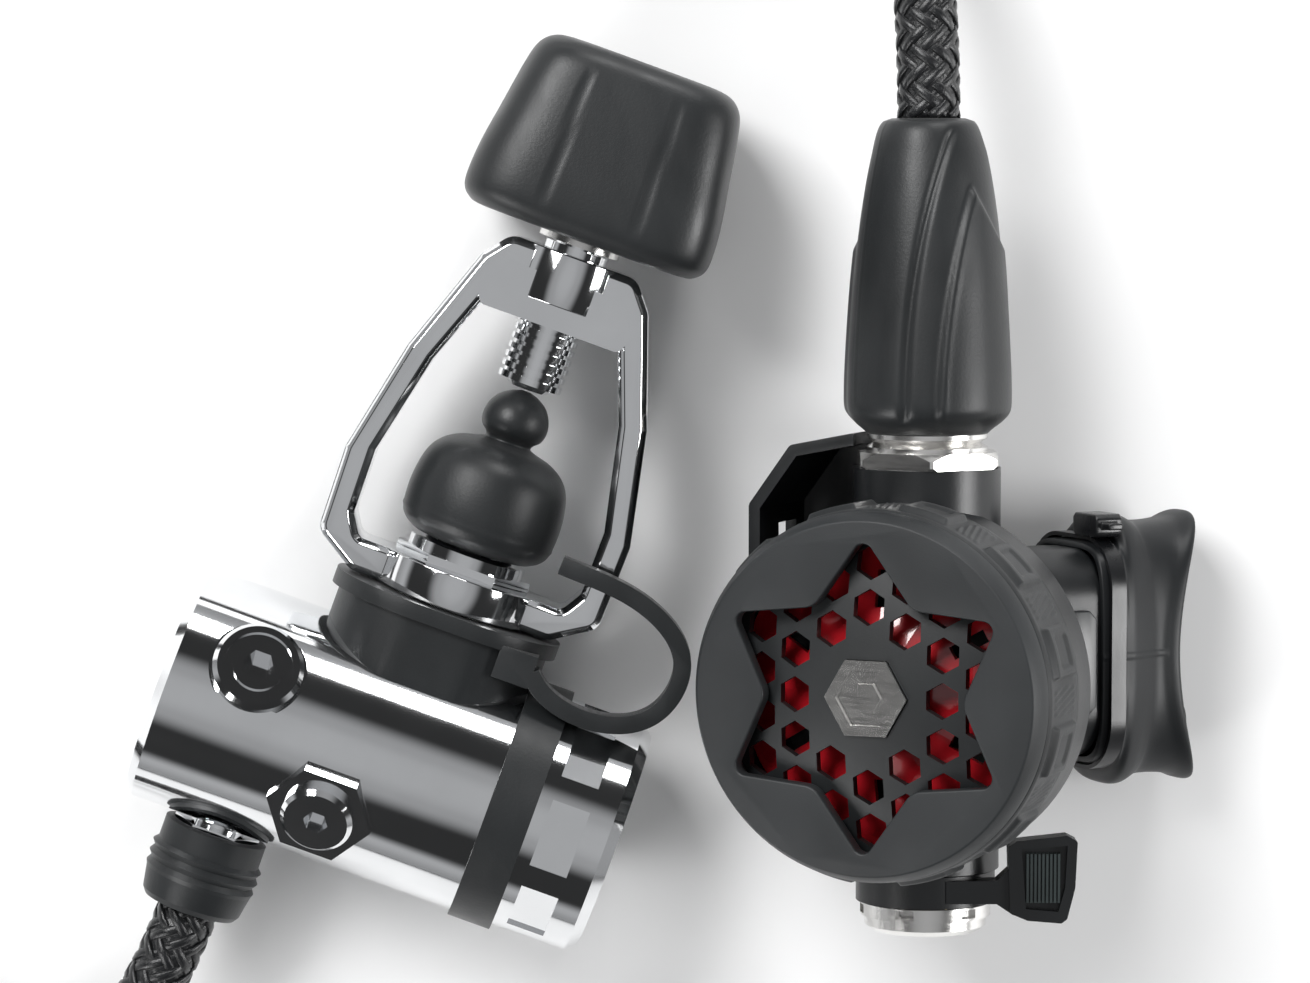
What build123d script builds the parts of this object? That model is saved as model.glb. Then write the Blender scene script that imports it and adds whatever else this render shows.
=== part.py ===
from build123d import *
import math
import os

os.makedirs("parts", exist_ok=True)

# Scuba regulator set lying on a table: second stage with its cover up, hose, and yoke first stage.
# Millimetres and degrees. +X to the mouthpiece, +Y to the hose inlet, +Z up from the table.

# Second stage
barrel_x = 46.0             # the valve barrel's axis, parallel to Y
barrel_y = -31.0
cover_angle = -23           # direction that the cover faces, from straight up towards +X
mouth_angle = 115           # direction of the mouthpiece
barrel_radius = 13.25
bore_radius = 9.2
barrel_start = -36.0
barrel_end = 36.5
bowl_y = -2.0               # centre of the round bowl along the barrel
bowl_radius = 32.6
cavity_radius = 29.6
bowl_back = 2.0             # heights along the cover's direction, from the barrel axis
bowl_floor = 4.5
bowl_front = 25.0
ring_front = 33.2
ring_radius = 31.2
hex_pitch = 7.9
hex_hole = 5.6              # across flats
dome_radius = 90.0
dome_top = 31.4
mouth_y = 2.0
flange_distance = 46.2     # front of the mouthpiece's flange, and the radius of its hollow
flange_curve = 44.0
exhaust_side = 20.5         # exhaust port, across from the barrel axis
exhaust_y = 8.0
deflector_side = 33.0
deflector_depth = 20.7
hose_diameter = 11.4
protector_end = 99.0

# First stage
first_x = -51.0             # middle of the body
first_y = -49.0
first_turn = -20            # direction of the end cap from +X
first_radius = 22.0
first_height = 23.0         # the body's axis above the table
hose_port = -26.0           # place along the body
screw_pitch = 1.75
sleeve_end = 38.0

base = (Align.CENTER, Align.CENTER, Align.MIN)
axis_height = (
    deflector_side * math.sin(math.radians(-cover_angle))
    + deflector_depth * math.cos(math.radians(cover_angle))
)


def facing(angle, y):
    """Place on the barrel axis whose Z points outwards at an angle and whose Y is the barrel's."""
    turn = math.radians(angle)
    across = (math.cos(turn), 0, -math.sin(turn))
    outward = (math.sin(turn), 0, math.cos(turn))
    return Plane(origin=(barrel_x, barrel_y + y, axis_height), x_dir=across, z_dir=outward).location


barrel = Plane(origin=(barrel_x, barrel_y, axis_height), x_dir=(1, 0, 0), z_dir=(0, 1, 0)).location
cover = facing(cover_angle, bowl_y)
lever_frame = facing(cover_angle, 0)
mouth = facing(mouth_angle, mouth_y)
exhaust = facing(180 + cover_angle, exhaust_y) * Pos(exhaust_side, 0, 0)
back = facing(180 + cover_angle, 0)

cap_direction = (math.cos(math.radians(first_turn)), math.sin(math.radians(first_turn)), 0)
yoke_direction = (-cap_direction[1], cap_direction[0], 0)
first = Plane(origin=(first_x, first_y, first_height), x_dir=yoke_direction, z_dir=cap_direction).location


def port(place, turn):
    """Place on the first stage's axis whose Z points outwards, turned from the yoke's side."""
    return first * Pos(0, 0, place) * Rot(0, 0, turn) * Rot(0, 90, 0)


yoke = first * Rot(0, 90, 0) * Rot(0, 0, 180)


def rod(radius, start, end):
    return Pos(0, 0, start) * Cylinder(radius, end - start, align=base)


def tube(outer, inner, start, end):
    return rod(outer, start, end) - rod(inner, start, end)


def hexagon(across, start, end, turn=0):
    outline = Rot(0, 0, turn) * RegularPolygon(across / 2, 6, major_radius=False)
    return Pos(0, 0, start) * extrude(outline, end - start)


def block(length, width, start, end, corner=0.0):
    outline = RectangleRounded(length, width, corner) if corner else Rectangle(length, width)
    return Pos(0, 0, start) * extrude(outline, end - start)


def turned(*points):
    return revolve(Plane.XZ * make_face(Polyline(*points, close=True)), axis=Axis.Z)


def coil(radius, wire, start, end, turns):
    path = Helix((end - start) / turns, end - start, radius)
    section = Plane(origin=path @ 0, z_dir=path % 0) * Circle(wire)
    return Pos(0, 0, start) * sweep(section, path=path)


def o_ring(radius, wire, height):
    return Pos(0, 0, height) * Torus(radius, wire)


# Second stage: case and cover

def horn_outline(length, height, corner):
    return RectangleRounded(height, length, corner)


def case_shell():
    horn_length = 38
    horn_height = 25
    spigot_start = 29
    spigot_end = 42
    bowl = turned(
        (0, -9), (18, -9), (24, -6), (bowl_radius - 1, bowl_back), (bowl_radius, bowl_back + 3),
        (bowl_radius, bowl_front), (0, bowl_front),
    )
    horn = extrude(horn_outline(horn_length, horn_height, 9), spigot_start)
    spigot = Pos(0, 0, 20) * extrude(horn_outline(34, 21, 8), spigot_end - 20)
    solid = barrel * rod(barrel_radius, barrel_start, barrel_end)
    solid += cover * bowl
    solid += mouth * (horn + spigot)
    solid += exhaust * rod(11, -6, 12)
    solid -= cover * rod(cavity_radius, bowl_floor, bowl_front)
    solid -= barrel * rod(bore_radius, barrel_start, barrel_end)
    solid -= lever_frame * (Pos(0, -1, 0) * block(14, 30, 0, bowl_floor + 1))
    solid -= mouth * extrude(horn_outline(30, 15, 6), spigot_end)
    hub = rod(2.6, 9.5, 12) - rod(1.3, 9.5, 12)
    webs = block(17, 1.6, 9.5, 12) + block(1.6, 17, 9.5, 12) - rod(1.3, 9.5, 12)
    solid -= exhaust * rod(8.5, -6, 12)
    return solid + exhaust * (hub + webs)


def grip_band():
    start = 12
    pads = 12
    pad_length = 11
    band = tube(bowl_radius + 0.8, bowl_radius, start, bowl_front + 4)
    for i in range(pads):
        place = Rot(0, 0, 360 / pads * (i + 0.5)) * Pos(bowl_radius + 0.8, 0, start + 8)
        band += place * Box(1.6, pad_length, 10)
    band &= rod(bowl_radius + 1.5, start, bowl_front + 4)
    return cover * (band - rod(bowl_radius, start, bowl_front + 4))


def star(tip, valley, start, end, tip_round, valley_round):
    points = []
    for i in range(12):
        radius = tip if i % 2 == 0 else valley
        angle = math.radians(90 + 30 * i)
        points.append((radius * math.cos(angle), radius * math.sin(angle)))
    outline = make_face(Polyline(*points, close=True))
    reach = (tip + valley) / 2
    tips = [v for v in outline.vertices() if Vector(v.X, v.Y).length > reach]
    outline = fillet(tips, tip_round)
    valleys = [v for v in outline.vertices() if abs(Vector(v.X, v.Y).length - valley) < 0.01]
    outline = fillet(valleys, valley_round)
    return Pos(0, 0, start) * extrude(outline, end - start)


def front_ring():
    seat = bowl_front
    under_petals = 30.0
    body = turned(
        (0, seat), (bowl_radius, seat), (bowl_radius, ring_front - 3),
        (ring_radius, ring_front), (0, ring_front),
    )
    body -= rod(28.9, seat, under_petals)
    body -= star(28.4, 18.2, seat, ring_front, 1.8, 4.0)
    return cover * body


def honeycomb_places():
    places = []
    for column in range(-3, 4):
        for row in range(-3, 4):
            distance = max(abs(column), abs(row), abs(column + row))
            if distance in (2, 3):
                x = hex_pitch * math.sqrt(3) / 2 * column
                y = hex_pitch * (row + column / 2)
                places.append((x, y))
    return places


def purge_plate():
    thickness = 2.0
    rim = 28.2
    centre = dome_top - dome_radius
    plate = Pos(0, 0, centre) * (Sphere(dome_radius) - Sphere(dome_radius - thickness))
    plate &= rod(rim, 20, 40)
    hole = RegularPolygon(hex_hole / 2, 6, major_radius=False, rotation=90)
    holes = Sketch() + [Pos(x, y) * hole for x, y in honeycomb_places()]
    plate -= Pos(0, 0, 20) * extrude(holes, 20)
    plate -= hexagon(13.4, dome_top - 0.8, 40)
    plate += rod(4, 18.9, dome_top - 1)
    return cover * plate


def centre_badge():
    badge = hexagon(13.2, dome_top - 0.8, dome_top + 0.5)
    badge -= hexagon(9.6, dome_top, dome_top + 0.5)
    badge += hexagon(5.0, dome_top, dome_top + 0.5)
    return cover * badge


def red_dish():
    """Twelve-sided dome with facets, under the honeycomb."""
    outer = loft([
        Plane.XY.offset(20.6) * RegularPolygon(27.2, 12),
        Plane.XY.offset(25.6) * RegularPolygon(9.0, 12),
    ])
    inner = loft([
        Plane.XY.offset(19.2) * RegularPolygon(27.2, 12),
        Plane.XY.offset(24.2) * RegularPolygon(9.0, 12),
    ])
    dish = outer - inner + tube(27.6, 25.5, 19.6, 20.8) - rod(5.2, 15, 30)
    for i in range(6):
        dish -= Rot(0, 0, 60 * i + 30) * Pos(18.5, 0, 22) * Box(6.5, 2.4, 12)
    return cover * dish


def diaphragm_clamp():
    return cover * tube(cavity_radius, 27.9, bowl_floor + 11, 21)


def diaphragm():
    ripple = tube(25.5, 21.5, 17.5, 19.0) - tube(24.5, 22.5, 16.5, 18.2)
    return cover * (rod(27.2, 17.4, 18.4) + ripple - tube(24.5, 22.5, 17.4, 18.2))


def diaphragm_disc():
    return cover * (rod(11, 16.2, 17.4) - tube(8, 6, 16.2, 16.6))


# Second stage: valve

lever_pivot_y = 8.0
lever_pivot_height = -4.3
seat_y = 13.2


def valve_tube():
    body = tube(7.8, 6.4, -44, 38) + tube(bore_radius, 7.8, 27, 37)
    solid = barrel * body
    solid -= lever_frame * (Pos(0, -0.5, 0) * block(10.4, 25, -6.2, 12))
    return solid


def lever_pin():
    pin = Pos(0, lever_pivot_y, lever_pivot_height) * Rot(0, 90, 0) * Cylinder(0.9, 12.8)
    return lever_frame * pin


def demand_lever():
    legs = Part()
    for side in (-1, 1):
        leg = Pos(side * 4.0, 0, 0) * extrude(
            Plane.YZ * make_face(Polyline((6.8, -5.5), (9.2, -5.5), (9.2, 9), (6.8, 10.6), close=True)),
            0.6, both=True
        )
        legs += leg
    bridge = extrude(
        Plane.YZ * make_face(Polyline(
            (9.3, 8), (9.3, 10), (-6, 15.8), (-9, 15.8), (-9, 14.6), (-6.5, 14.6), (6.8, 9), close=True
        )),
        1.6, both=True,
    )
    yoke_bar = Pos(0, 8.2, 9) * Box(9.2, 2, 1.6)
    pin = Pos(0, lever_pivot_y, lever_pivot_height) * Rot(0, 90, 0) * Cylinder(1.0, 20)
    return lever_frame * (legs + bridge + yoke_bar - pin)


def poppet():
    return barrel * (rod(3.0, -12, 11.2) + rod(4.6, 4.8, 6.2))


def poppet_seat():
    return barrel * rod(2.8, 11.2, 12.7)


def poppet_spring():
    return barrel * coil(4.2, 0.45, -19.5, 2.5, 7)


def spring_plug():
    return barrel * (rod(6.4, -26, -20.2) - hexagon(4, -26, -23))


def orifice_tube():
    body = tube(6.4, 2.2, 14.4, 40) + turned((2.2, seat_y), (2.8, seat_y), (4.6, 14.4), (2.2, 14.4))
    return barrel * (body - tube(6.4, 5.4, 29.8, 31.2))


def barrel_rings():
    return barrel * Compound([o_ring(5.9, 0.5, 30.5), o_ring(8.5, 0.65, 26.2)])


def inlet_collar():
    chamfers = turned((0, 35), (12.6, 35), (14, 37), (14, 38.2), (12.8, 39.4), (0, 39.4))
    body = hexagon(24.6, barrel_end, 39.4, 30) & chamfers
    return barrel * (body - rod(9.2, barrel_end, 37) - rod(7.8, 37, 38) - rod(6.4, 38, 39.4))


def inlet_flange():
    return barrel * turned(
        (6.4, 39.4), (10.9, 39.4), (10.9, 40.2), (9.6, 41.0), (10.9, 41.8), (10.9, 42.6),
        (8.0, 42.6), (8.0, 60), (3, 60),
        (3, 42), (6.4, 40.2),
    )


# Second stage: venturi lever, end cap

def venturi_lever():
    collar = tube(12.6, 8.0, -42.0, barrel_start - 0.3)
    arm = make_face(Polyline((3, -41), (3, -37), (12, -36.8), (15, -34), (15, -43), (12, -41), close=True))
    paddle = make_face(Polyline(
        (14, -30.6), (15.5, -29.6), (24.5, -28.6), (26.4, -29.6), (26, -38), (24.6, -43.6), (23.6, -44.4),
        (17.5, -43.9), (14.4, -42.6), close=True,
    ))
    paddle = fillet(paddle.vertices(), 0.7)
    reach = Pos(0, 0, 8.2) * extrude(arm, 4.2)
    grip = Pos(0, 0, 8.6) * extrude(paddle, 4.4)
    recess = make_face(Polyline(
        (16.4, -31), (24.6, -30.4), (24.2, -38), (23, -42.3), (17.2, -41.8), close=True
    ))
    grip -= Pos(0, 0, 11.6) * extrude(recess, 1.4)
    upright = Pos(barrel_x, barrel_y, axis_height) * (reach + grip)
    return barrel * collar + upright - barrel * rod(8.0, -45, -30)


def lever_ribs():
    ribs = Part()
    for i in range(9):
        ribs += Pos(17.5 + 0.7 * i, -36.3, 12.3) * Box(0.42, 8.8, 0.9)
    plate = Pos(20.3, -36.3, 11.75) * Box(6.2, 9.0, 0.3)
    return Pos(barrel_x, barrel_y, axis_height) * (ribs + plate)


def venturi_vane():
    """Part of a sleeve that uncovers the window to the mouthpiece as the lever turns."""
    sleeve = tube(8.8, 8.15, -34, 4)
    wedge = make_face(Polyline((0, 0), (20, 9), (20, 30), (0, 30), (-2, 12), close=True))
    kept = Pos(0, 0, -34) * extrude(wedge, 38)
    ring = tube(8.8, 8.15, barrel_start - 0.3, -31)
    return barrel * ((sleeve & kept) + ring)


def end_cap():
    band = tube(11.8, 7.8, -44.6, -42.3)
    for i in range(6):
        band -= Rot(0, 0, 60 * i + 8) * Pos(11.8, 0, -43.4) * Box(2.4, 3.4, 1.6)
    lip = turned((0, -47.4), (9.6, -47.4), (11.0, -46.4), (11.0, -44.6), (0, -44.6))
    lip -= rod(6.2, -48, -46.6)
    return barrel * (band + lip)


# Second stage: exhaust and mouthpiece

def exhaust_valve():
    disc = turned((0, 12.6), (9.6, 12.4), (9.8, 12.9), (3, 13.8), (0, 13.8))
    bulb = turned((0, 4.8), (1.2, 5.6), (1.9, 6.8), (1.0, 7.4), (0, 7.4))
    return exhaust * (disc + rod(1.0, 5.5, 13) + bulb)


def exhaust_deflector():
    outline = make_face(Polyline(
        (8, -8), (deflector_side - 4, -8), (deflector_side, -3), (deflector_side, 29),
        (25, 40), (13, 42.4), (8, 42.4),
        close=True,
    ))
    outline = fillet(outline.vertices(), 1.5)
    inner = offset(outline, -2.2)
    shell = Pos(0, 0, -4) * extrude(outline, deflector_depth + 4)
    shell -= Pos(0, 0, -4) * extrude(inner, deflector_depth + 4 - 2.2)
    for i in range(3):
        shell -= Pos(deflector_side, 4 + 9 * i, 10) * Box(8, 6, 9)
    solid = back * shell
    keep_out = turned(
        (0, -10.4), (18.5, -10.4), (25, -7), (bowl_radius + 1.8, bowl_back), (bowl_radius + 1.8, 40), (0, 40),
    )
    solid -= cover * keep_out
    solid -= barrel * rod(barrel_radius, -60, 60)
    solid -= exhaust * rod(11, -6, 12.1)
    return max(solid.solids(), key=lambda piece: piece.volume)


def mouthpiece():
    rows = [
        (29, 40, 27, 9), (33.5, 41, 28, 9), (35.5, 49, 27.6, 11),
        (39, 50, 26, 11), (43, 45, 24, 10), (49, 46, 23, 10),
    ]
    bulge = Part()
    for (low, *narrow), (high, *wide) in zip(rows, rows[1:]):
        below = Plane.XY.offset(low) * horn_outline(*narrow)
        above = Plane.XY.offset(high) * horn_outline(*wide)
        bulge += loft([below, above])
    bend = Pos(0, 0, flange_distance + flange_curve) * Rot(0, 90, 0)
    flange = Pos(0, 0, 42.9) * extrude(horn_outline(50, 24.8, 11), 12) & bend * Cylinder(flange_curve + 3, 60)
    solid = bulge + flange - bend * Cylinder(flange_curve, 60)
    for side in (-1, 1):
        solid += Pos(2.5, side * 16.5, 51) * Box(4.4, 12, 8)
        solid += Pos(2.5, side * 16.5, 54) * Box(6.5, 12, 2)
    solid -= extrude(horn_outline(34, 21, 8), 42)
    solid -= Pos(0, 0, 40) * extrude(horn_outline(27, 13, 5), 30)
    return mouth * solid


def tie_strap():
    outer = horn_outline(42.8, 29.8, 9.8)
    inner = horn_outline(41.4, 28.4, 9.2)
    return mouth * (Pos(0, 0, 30) * (extrude(outer, 3) - extrude(inner, 3)))


def tie_head():
    head = Pos(-7, 23.5, 31.4) * Box(8.5, 4.2, 5.4)
    head = chamfer(head.edges().filter_by(Axis.Z), 0.8)
    tail = Pos(-12.2, 23.5, 31.4) * Box(3, 1.2, 3)
    return mouth * (head + tail)


def horn_panel():
    panel = Pos(-12.5, 0, 0) * Box(0.9, 19, 7.4, align=(Align.MAX, Align.CENTER, Align.MIN))
    panel = chamfer(panel.edges().filter_by(Axis.X), 1.6)
    return mouth * (Pos(0, -1, 20.4) * panel)


def hose_protector():
    profile = [
        (8.0, 42.6), (11.1, 42.6), (14.5, 47.0), (14.2, 56), (13.0, 72), (11.6, 84),
        (9.6, 94), (8.6, 98), (7.4, protector_end),
        (0, protector_end), (0, 60.4), (8.0, 60.4),
    ]
    return barrel * turned(*profile)


# First stage

end_cap_start = 20.0
retainer_top = 41.0
yoke_base = 31.0
yoke_top = 98.0
screw_tip = 72.4


def first_body():
    body = turned((0, -44), (20.4, -44), (22, -42.4), (first_radius, end_cap_start), (0, end_cap_start))
    body -= rod(17.5, 8.6, end_cap_start) + rod(1.6, 2, 8.6) + rod(6, -24, 2)
    solid = first * body
    solid += port(-9, 118) * hexagon(17, 17, 23.2)
    solid -= yoke * (rod(4, 3, 15) + rod(9, 14, 30))
    solid -= port(-28, 62) * (rod(5.5, 10, 30) + rod(8.8, 21.0, 30))
    solid -= port(-9, 118) * rod(5, 13, 30)
    solid -= port(hose_port, 180) * rod(5, 10, 30)
    return solid


def first_end_cap():
    facets = 8
    holes = 6
    body = turned((0, end_cap_start), (22, end_cap_start), (22, 41), (20.2, 43), (0, 43))
    for i in range(facets):
        body -= Rot(0, 0, 360 / facets * i) * Pos(25.5, 0, 33) * Box(10, 12.5, 7)
    body -= rod(14, end_cap_start, 38.3) + rod(9, 40.6, 43) + rod(5, 38, 41)
    for i in range(holes):
        body -= Rot(0, 0, 360 / holes * i + 15) * Pos(16.2, 0, 0) * rod(1.1, 39.5, 43)
    return first * body


def cap_window():
    return first * turned((0, 40.6), (9, 40.6), (9, 41.6), (7.6, 42.0), (0, 42.2))


def body_band():
    return first * (rod(first_height, 19, 27) - rod(first_radius, 19, 27))


def spring_adjuster():
    return first * (rod(13.8, 33, 37.5) - hexagon(8, 33, 37.5))


def main_spring():
    return first * coil(10.6, 1.5, 15.5, 31.3, 4)


def thrust_pad():
    return first * (rod(12.6, 11.4, 13.6) - tube(7.5, 5, 12.8, 13.6))


def first_diaphragm():
    return first * (rod(16.8, 10.2, 11.4) - tube(15, 14, 10.9, 11.4))


def high_pressure_poppet():
    return first * (rod(1.25, -1, 10.2) + turned((0, -6.5), (4.4, -6.5), (4.4, -1.5), (2.6, 1), (0, 1)))


def high_pressure_spring():
    return first * coil(3.8, 0.5, -23, -8.2, 6)


def yoke_boot():
    shell = block(40, 31, 12, 30.5, 15) + block(43, 34, 27.6, 30.5, 16.5)
    shell -= rod(9.6, 10, 31)
    shell -= Pos(-12, -17, 24.5) * Box(11, 3, 4.6)
    return yoke * shell - first * (rod(first_radius, -50, 50) + rod(first_height, 19, 27))


def yoke_retainer():
    body = rod(9, 14, 30.6) + rod(9.4, 30.6, 37.2) + hexagon(22, 37.2, 39) + rod(11, 39, retainer_top)
    body -= rod(4, 14, 28) + rod(6, 28, retainer_top) + tube(8.3, 6.7, 39.8, retainer_top)
    return yoke * body


def inlet_filter():
    return yoke * turned((0, 28.4), (1.5, 28.4), (5.6, 37), (5.6, 39), (0, 39))


def filter_clip():
    return yoke * (tube(6, 4.6, 39.2, 40) - Pos(5, 0, 39.6) * Box(3, 2, 1))


def inlet_ring():
    return yoke * o_ring(7.5, 0.8, 40.6)


def mirrored(points):
    return points + [(-x, z) for x, z in reversed(points)]


def yoke_frame():
    outer = make_face(Polyline(
        *mirrored([(19, yoke_base), (27, 36), (27.4, 52), (23, 73), (16, 93), (12, yoke_top)]), close=True
    ))
    inner = make_face(Polyline(
        *mirrored([(19.5, 37.2), (21.8, 41), (22, 53), (17.8, 72), (11.6, 88.6)]), close=True
    ))
    outer = fillet(outer.vertices(), 3.4)
    inner = fillet(inner.vertices(), 1.8)
    arms = extrude(Plane.XZ * outer, 7.2, both=True) - extrude(Plane.XZ * inner, 8, both=True)
    rims = [
        edge for edge in arms.edges().group_by(Axis.Y)[0] + arms.edges().group_by(Axis.Y)[-1]
        if 40 < edge.center().Z < 92
    ]
    arms = chamfer(rims, 1.2)
    solid = arms + rod(15, yoke_base, 37.2) + rod(10, 88.6, yoke_top)
    return yoke * (solid - rod(9.4, yoke_base, 37.2) - rod(6.08, 80, yoke_top))


def yoke_plate():
    outline = fillet(make_face(Polyline(
        *mirrored([(13.2, 84.5), (14.6, 87.5), (11.4, 93.6)]), close=True
    )).vertices(), 1.4)
    return yoke * (Pos(0, -7.1, 0) * extrude(Plane.XZ * outline, 1.2))


def yoke_screw():
    tip = turned((0, screw_tip), (3.4, screw_tip), (6, 74), (0, 74))
    body = rod(6.0, screw_tip + 1, 99.5) + tip + rod(4.2, 99.5, 104)
    for i in range(14):
        body -= tube(6.2, 5.35, 74.6 + screw_pitch * i, 75.3 + screw_pitch * i)
    return yoke * body


def screw_washer():
    return yoke * tube(7.6, 4.3, 99.9, 101.0)


def knob_core():
    return yoke * (hexagon(24, 104, 126) + rod(14, 101.4, 104) - rod(4.2, 101.4, 104))


def knob_cover():
    rows = [(101.2, 44, 39, 15), (105, 47, 42, 16), (118, 44, 40, 15), (131, 39.5, 36, 13), (135, 35, 31, 12)]
    parts = Part()
    for (low, w0, d0, c0), (high, w1, d1, c1) in zip(rows, rows[1:]):
        below = Plane.XY.offset(low) * RectangleRounded(w0, d0, c0)
        above = Plane.XY.offset(high) * RectangleRounded(w1, d1, c1)
        parts += loft([below, above])
    return yoke * (parts - hexagon(24, 104, 126) - rod(14, 101.2, 104))


def dust_cap():
    dome = turned(
        (0, 41.8), (11, 41.8), (13.6, 43.6), (14.6, 49), (13.6, 56), (10.6, 60), (6, 61.4), (0, 61.6)
    )
    return yoke * (dome + Pos(0, 0, 65.8) * Sphere(6.2) + rod(4, 60, 64) - rod(5, 41.8, 46))


def dust_strap():
    loop = Spline((18, 25.6), (31, 21), (41.5, 26), (43, 36.5), (35, 43.2), (22, 45.4), (16.6, 45.6))
    band = extrude(Plane.XZ * trace(loop, 3.2), 5.2)
    anchor = Pos(15, 0, 25.6) * Box(7, 5.2, 6, align=(Align.CENTER, Align.MAX, Align.CENTER))
    strap = Pos(0, -10.4, 0) * (band + anchor)
    strap = strap - block(40, 31, 12, 30.5, 15) - block(43, 34, 27.6, 30.5, 16.5)
    return yoke * strap - first * rod(first_height, 19, 27)


def high_pressure_plug():
    body = rod(5.5, 13, 21.0) + turned((0, 21.0), (8.2, 21.0), (8.2, 22.6), (7.4, 23.4), (0, 23.4))
    return port(-28, 62) * (body - hexagon(5, 19.5, 24) - tube(6.2, 4.6, 22.8, 24))


def low_pressure_plug():
    body = rod(5, 14, 23.2) + turned((0, 23.2), (6.6, 23.2), (6.6, 24.6), (5.8, 25.4), (0, 25.4))
    return port(-9, 118) * (body - hexagon(4, 21.5, 26))


def hose_nut():
    body = rod(5, 11, 22.4) + hexagon(14, 22.4, 29) + rod(6, 29, sleeve_end - 6)
    return port(hose_port, 180) * (body - rod(2.6, 11, sleeve_end - 6))


def hose_sleeve():
    outline = [
        (8.4, 22.9), (9.6, 23.2), (9.6, 27.4), (10.4, 28.2), (9.7, 29.2),
        (10.4, 30.2), (9.7, 31.2), (10.3, 32.2), (10, 33),
    ]
    body = turned((0, 22.9), *outline, (9.3, sleeve_end - 1), (8.6, sleeve_end), (0, sleeve_end))
    return port(hose_port, 180) * (body - rod(8.1, 22.9, 29.2) - rod(6, 29, sleeve_end - 6))


# Hose, from the protector's end round to the first stage's sleeve

hose_route = [
    (46.0, 68.0, 31.95),
    (46.0, 92.0, 31.4),
    (40.5, 116.0, 24.5),
    (23.0, 135.0, 13.5),
    (-7.0, 143.5, 7.0),
    (-50.0, 144.5, 5.8),
    (-96.0, 141.5, 5.8),
    (-137.0, 126.0, 5.8),
    (-163.0, 94.0, 5.8),
    (-175.0, 53.0, 5.8),
    (-178.5, 8.0, 5.8),
    (-179.5, -38.0, 5.8),
    (-178.0, -80.0, 6.2),
    (-164.5, -103.0, 8.5),
    (-141.5, -114.5, 12.5),
    (-116.0, -112.3, 18.0),
    (-96.4, -96.5, 22.4),
    (-88.43, -75.82, 23.0),
]


def corner_radii(points):
    radii = []
    for before, corner, after in zip(points, points[1:], points[2:]):
        arriving = Vector(corner) - Vector(before)
        leaving = Vector(after) - Vector(corner)
        half_turn = math.radians(arriving.get_angle(leaving)) / 2
        radii.append(0.45 * min(arriving.length, leaving.length) / math.tan(half_turn))
    return radii


def hose():
    radii = corner_radii(hose_route)
    path = FilletPolyline(*hose_route, radius=radii)
    section = Plane(origin=path @ 0, z_dir=path % 0) * Circle(hose_diameter / 2)
    solid = sweep(section, path=path)
    print("hose arcs", [round(radius) for radius in radii])
    print("hose length", round(path.length), "volume share", solid.volume / (section.area * path.length))
    return solid


nodes = {
    "case_shell": case_shell,
    "grip_band": grip_band,
    "front_ring": front_ring,
    "purge_plate": purge_plate,
    "centre_badge": centre_badge,
    "red_dish": red_dish,
    "diaphragm_clamp": diaphragm_clamp,
    "diaphragm": diaphragm,
    "diaphragm_disc": diaphragm_disc,
    "valve_tube": valve_tube,
    "lever_pin": lever_pin,
    "demand_lever": demand_lever,
    "poppet": poppet,
    "poppet_seat": poppet_seat,
    "poppet_spring": poppet_spring,
    "spring_plug": spring_plug,
    "orifice_tube": orifice_tube,
    "barrel_rings": barrel_rings,
    "inlet_collar": inlet_collar,
    "inlet_flange": inlet_flange,
    "venturi_lever": venturi_lever,
    "lever_ribs": lever_ribs,
    "venturi_vane": venturi_vane,
    "end_cap": end_cap,
    "exhaust_valve": exhaust_valve,
    "exhaust_deflector": exhaust_deflector,
    "mouthpiece": mouthpiece,
    "tie_strap": tie_strap,
    "tie_head": tie_head,
    "horn_panel": horn_panel,
    "hose_protector": hose_protector,
    "first_body": first_body,
    "first_end_cap": first_end_cap,
    "cap_window": cap_window,
    "body_band": body_band,
    "spring_adjuster": spring_adjuster,
    "main_spring": main_spring,
    "thrust_pad": thrust_pad,
    "first_diaphragm": first_diaphragm,
    "high_pressure_poppet": high_pressure_poppet,
    "high_pressure_spring": high_pressure_spring,
    "yoke_boot": yoke_boot,
    "yoke_retainer": yoke_retainer,
    "inlet_filter": inlet_filter,
    "filter_clip": filter_clip,
    "inlet_ring": inlet_ring,
    "yoke_frame": yoke_frame,
    "yoke_plate": yoke_plate,
    "yoke_screw": yoke_screw,
    "screw_washer": screw_washer,
    "knob_core": knob_core,
    "knob_cover": knob_cover,
    "dust_cap": dust_cap,
    "dust_strap": dust_strap,
    "high_pressure_plug": high_pressure_plug,
    "low_pressure_plug": low_pressure_plug,
    "hose_nut": hose_nut,
    "hose_sleeve": hose_sleeve,
    "hose": hose,
}

for name, build in nodes.items():
    export_step(build(), f"parts/{name}.step")
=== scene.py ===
import math

import bmesh
import bpy
from mathutils import Matrix, Vector


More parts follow.
